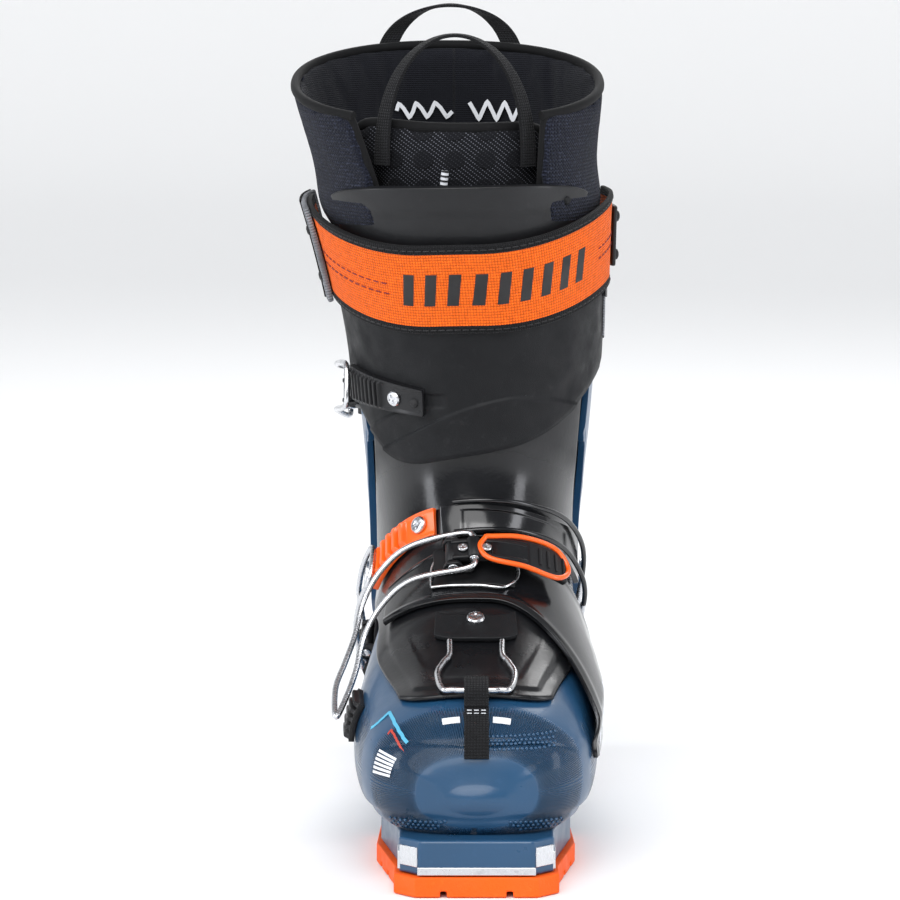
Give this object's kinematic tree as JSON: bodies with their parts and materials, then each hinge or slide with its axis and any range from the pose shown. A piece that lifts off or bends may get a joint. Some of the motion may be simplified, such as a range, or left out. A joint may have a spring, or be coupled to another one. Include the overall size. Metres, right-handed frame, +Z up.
{
  "type": "alpine touring ski boot",
  "caption": "Three-piece alpine touring ski boot for the right foot, with hinged cuff, buckles, power strap, walk lever and liner.",
  "frame": {"origin": "middle of the boot's bounding box on the ground plane under its soles", "axes": "+Z up the leg, -Y towards the toe, +Y towards the heel, +X towards the inner side of the right foot"},
  "size_m": [0.1478, 0.306, 0.3747],
  "materials": {
    "blue_shell": "satin moulded polyurethane",
    "gloss_black": "glossy",
    "matte_black": "fine matt texture",
    "black_plastic": "satin",
    "sole_rubber": "matt rubber",
    "orange_plastic": "satin",
    "bright_steel": "polished",
    "liner_fabric": "heathered knit and neoprene",
    "black_webbing": "woven webbing",
    "orange_webbing": "woven webbing with bound edges",
    "grey_webbing": "woven",
    "board_foam": "moulded foam"
  },
  "bodies": {
    "root": {"lower_shell": "blue_shell", "toe_sole": "sole_rubber", "heel_sole": "sole_rubber", "toe_pin_socket_inner": "bright_steel", "toe_pin_socket_outer": "bright_steel", "heel_pin_plate": "bright_steel", "boot_board": "board_foam", "liner_foot": "liner_fabric", "tongue_lower": "gloss_black", "tongue_tab": "black_plastic", "tongue_rivet": "bright_steel", "ankle_bolt_inner": "bright_steel", "ankle_bolt_outer": "bright_steel", "instep_plate": "gloss_black", "instep_ladder": "orange_plastic", "instep_ladder_screw": "bright_steel", "instep_wire_upper": "black_plastic", "instep_wire_lower": "black_plastic", "instep_base": "black_plastic", "forefoot_rack": "black_plastic", "forefoot_strap": "gloss_black", "forefoot_base": "black_plastic", "instep_wire_anchor": "black_plastic"},
    "cuff": {"cuff_shell": "blue_shell", "shin_plate": "matte_black", "tongue_upper": "matte_black", "power_strap": "orange_webbing", "strap_tail": "grey_webbing", "strap_hook": "black_plastic", "liner_cuff": "liner_fabric", "liner_tongue": "liner_fabric", "rear_pull_loop": "black_webbing", "tongue_pull_loop": "black_webbing", "cuff_ladder": "black_plastic", "cuff_ladder_screw": "bright_steel", "cuff_base": "black_plastic", "rear_spine": "black_plastic", "walk_lever_base": "black_plastic"},
    "cuff_lever": {"cuff_lever": "black_plastic"},
    "cuff_bail": {"cuff_bail": "bright_steel"},
    "instep_lever": {"instep_lever": "black_plastic"},
    "instep_bail": {"instep_bail": "bright_steel"},
    "forefoot_lever": {"forefoot_lever": "black_plastic"},
    "forefoot_bail": {"forefoot_bail": "bright_steel"},
    "toe_bail": {"toe_bail": "bright_steel", "toe_pull_strap": "black_webbing"},
    "walk_lever": {"walk_lever": "bright_steel"}
  },
  "joints": [
    {"name": "cuff_flex", "type": "hinge", "parent": "root", "child": "cuff", "pos_m": [0.01, 0.082, 0.098], "axis": [1, 0, 0], "range_deg": [-18, 15]},
    {"name": "cuff_lever_swing", "type": "hinge", "parent": "cuff", "child": "cuff_lever", "pos_m": [-0.0468, 0.07536, 0.18613], "axis": [0.0022, 0.278, 0.9606], "range_deg": [0, 110]},
    {"name": "cuff_bail_swing", "type": "hinge", "parent": "cuff_lever", "child": "cuff_bail", "pos_m": [-0.04701, 0.08492, 0.18337], "axis": [0.0022, 0.278, 0.9606], "range_deg": [-110, 0]},
    {"name": "instep_lever_swing", "type": "hinge", "parent": "root", "child": "instep_lever", "pos_m": [-0.03897, 0.04405, 0.07579], "axis": [0.0532, 0.741, 0.6694], "range_deg": [0, 110]},
    {"name": "instep_bail_swing", "type": "hinge", "parent": "instep_lever", "child": "instep_bail", "pos_m": [-0.04107, 0.05064, 0.06866], "axis": [0.0532, 0.741, 0.6694], "range_deg": [-110, 0]},
    {"name": "forefoot_lever_swing", "type": "hinge", "parent": "root", "child": "forefoot_lever", "pos_m": [-0.00011, -0.032, 0.12671], "axis": [0.0365, -0.8013, -0.5971], "range_deg": [0, 110]},
    {"name": "forefoot_bail_swing", "type": "hinge", "parent": "forefoot_lever", "child": "forefoot_bail", "pos_m": [0.00932, -0.03361, 0.12945], "axis": [0.0365, -0.8013, -0.5971], "range_deg": [-110, 0]},
    {"name": "toe_bail_swing", "type": "hinge", "parent": "root", "child": "toe_bail", "pos_m": [0.01, -0.0747, 0.09614], "axis": [1, 0, 0], "range_deg": [-80, 0]},
    {"name": "walk_lever_swing", "type": "hinge", "parent": "cuff", "child": "walk_lever", "pos_m": [0.00981, 0.12984, 0.20693], "axis": [1, 0, 0], "range_deg": [-70, 0]}
  ],
  "couplings": [
    {"joint": "cuff_bail_swing", "follows": "cuff_lever_swing", "ratio": -1},
    {"joint": "instep_bail_swing", "follows": "instep_lever_swing", "ratio": -1},
    {"joint": "forefoot_bail_swing", "follows": "forefoot_lever_swing", "ratio": -1}
  ]
}
